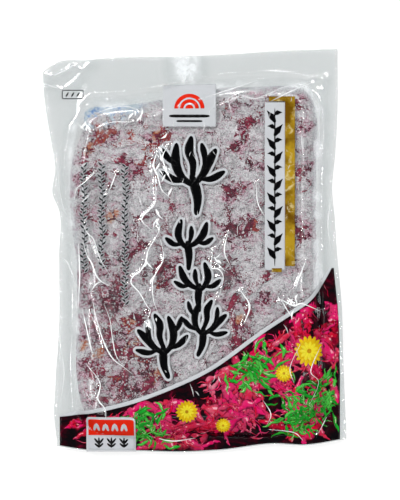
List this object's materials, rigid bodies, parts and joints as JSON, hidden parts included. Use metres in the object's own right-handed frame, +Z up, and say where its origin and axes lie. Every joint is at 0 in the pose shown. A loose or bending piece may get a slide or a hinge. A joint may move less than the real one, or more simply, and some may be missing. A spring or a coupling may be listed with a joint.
{
  "type": "pouch of salted red seaweed",
  "caption": "Flat heat-sealed clear film pouch, lying on its back, packed with a slab of forked red seaweed fronds in coarse salt.",
  "frame": {"origin": "on the surface the pouch lies on, under the middle of its bounding box", "axes": "+X across the pouch, +Y along it towards its top seal, +Z up out of its printed front"},
  "size_m": [0.2066, 0.2748, 0.0204],
  "materials": {
    "clear_film": "clear glossy packing film",
    "packed_salt": "coarse grey-white salt packed round seaweed",
    "crimson_frond": "damp crimson seaweed",
    "maroon_frond": "damp dark maroon seaweed",
    "amber_frond": "damp orange-brown seaweed",
    "film_print": "opaque ink printed on the film"
  },
  "bodies": {
    "root": {"back_film": "clear_film", "back_frond_01": "maroon_frond", "back_frond_02": "crimson_frond", "back_frond_03": "crimson_frond", "back_frond_04": "maroon_frond", "back_frond_05": "amber_frond", "back_frond_06": "crimson_frond", "back_frond_07": "crimson_frond", "front_film": "clear_film", "front_frond_01": "maroon_frond", "front_frond_02": "crimson_frond", "front_frond_03": "crimson_frond", "front_frond_04": "maroon_frond", "front_frond_05": "amber_frond", "front_frond_06": "crimson_frond", "front_frond_07": "crimson_frond", "front_frond_08": "maroon_frond", "front_frond_09": "crimson_frond", "front_frond_10": "crimson_frond", "front_frond_11": "maroon_frond", "front_frond_12": "amber_frond", "front_frond_13": "crimson_frond", "front_frond_14": "crimson_frond", "front_frond_15": "maroon_frond", "front_frond_16": "crimson_frond", "front_frond_17": "crimson_frond", "front_frond_18": "maroon_frond", "front_frond_19": "amber_frond", "front_frond_20": "crimson_frond", "front_frond_21": "crimson_frond", "front_frond_22": "maroon_frond", "front_frond_23": "crimson_frond", "front_frond_24": "crimson_frond", "salted_slab": "packed_salt"}
  },
  "joints": []
}
